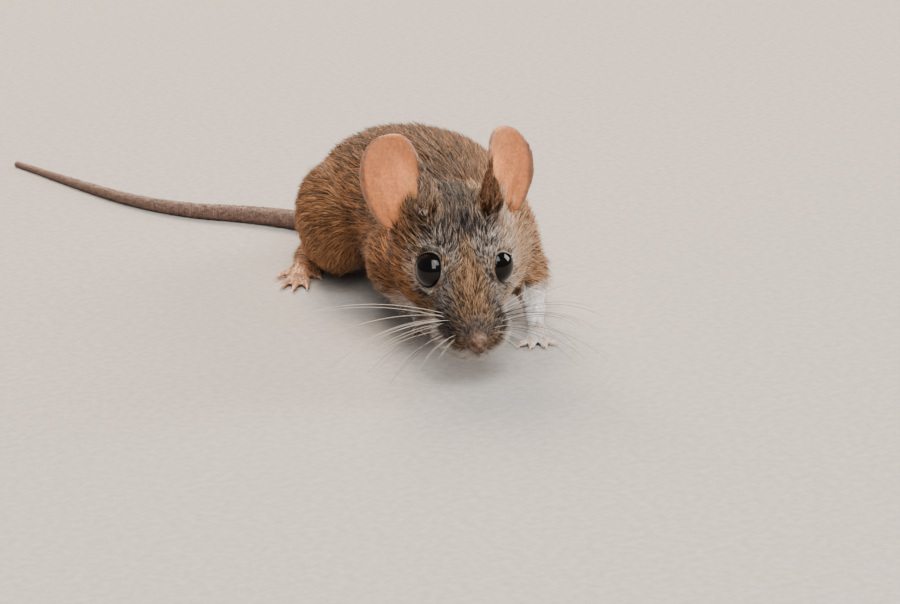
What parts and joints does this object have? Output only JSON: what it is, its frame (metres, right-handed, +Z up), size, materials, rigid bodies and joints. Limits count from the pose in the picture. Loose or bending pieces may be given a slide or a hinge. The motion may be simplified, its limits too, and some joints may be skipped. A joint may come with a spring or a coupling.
{
  "type": "wood mouse",
  "caption": "Life-size still model of a crouching wood mouse, its nose near the ground, ears raised and tail laid out behind it.",
  "frame": {"origin": "on the floor, below the middle of the box around the whole mouse, its tail included", "axes": "+Z up; +Y along the trunk from the head towards the tail; +X to the mouse's left"},
  "size_m": [0.0558, 0.1643, 0.0355],
  "materials": {
    "fur_brown": "short soft fur, orange-brown, finely flecked with black",
    "fur_back": "short soft fur, darker brown along the back",
    "fur_pale": "short white fur",
    "ear_skin": "thin bare skin with a fine down",
    "nose_skin": "bare damp skin",
    "eye_black": "wet black gloss",
    "foot_skin": "pale pink skin with fine white hair",
    "tail_skin": "finely ringed skin, darker above than below"
  },
  "bodies": {
    "root": {"head": "fur_brown", "neck": "fur_brown", "trunk": "fur_back", "nose": "nose_skin", "eye_left": "eye_black", "ear_left": "ear_skin", "foreleg_left": "fur_pale", "forefoot_left": "foot_skin", "hind_leg_left": "fur_brown", "hind_foot_left": "foot_skin", "eye_right": "eye_black", "ear_right": "ear_skin", "foreleg_right": "fur_pale", "forefoot_right": "foot_skin", "hind_leg_right": "fur_brown", "hind_foot_right": "foot_skin", "tail_root": "tail_skin", "tail_middle": "tail_skin", "tail_tip": "tail_skin"}
  },
  "joints": []
}
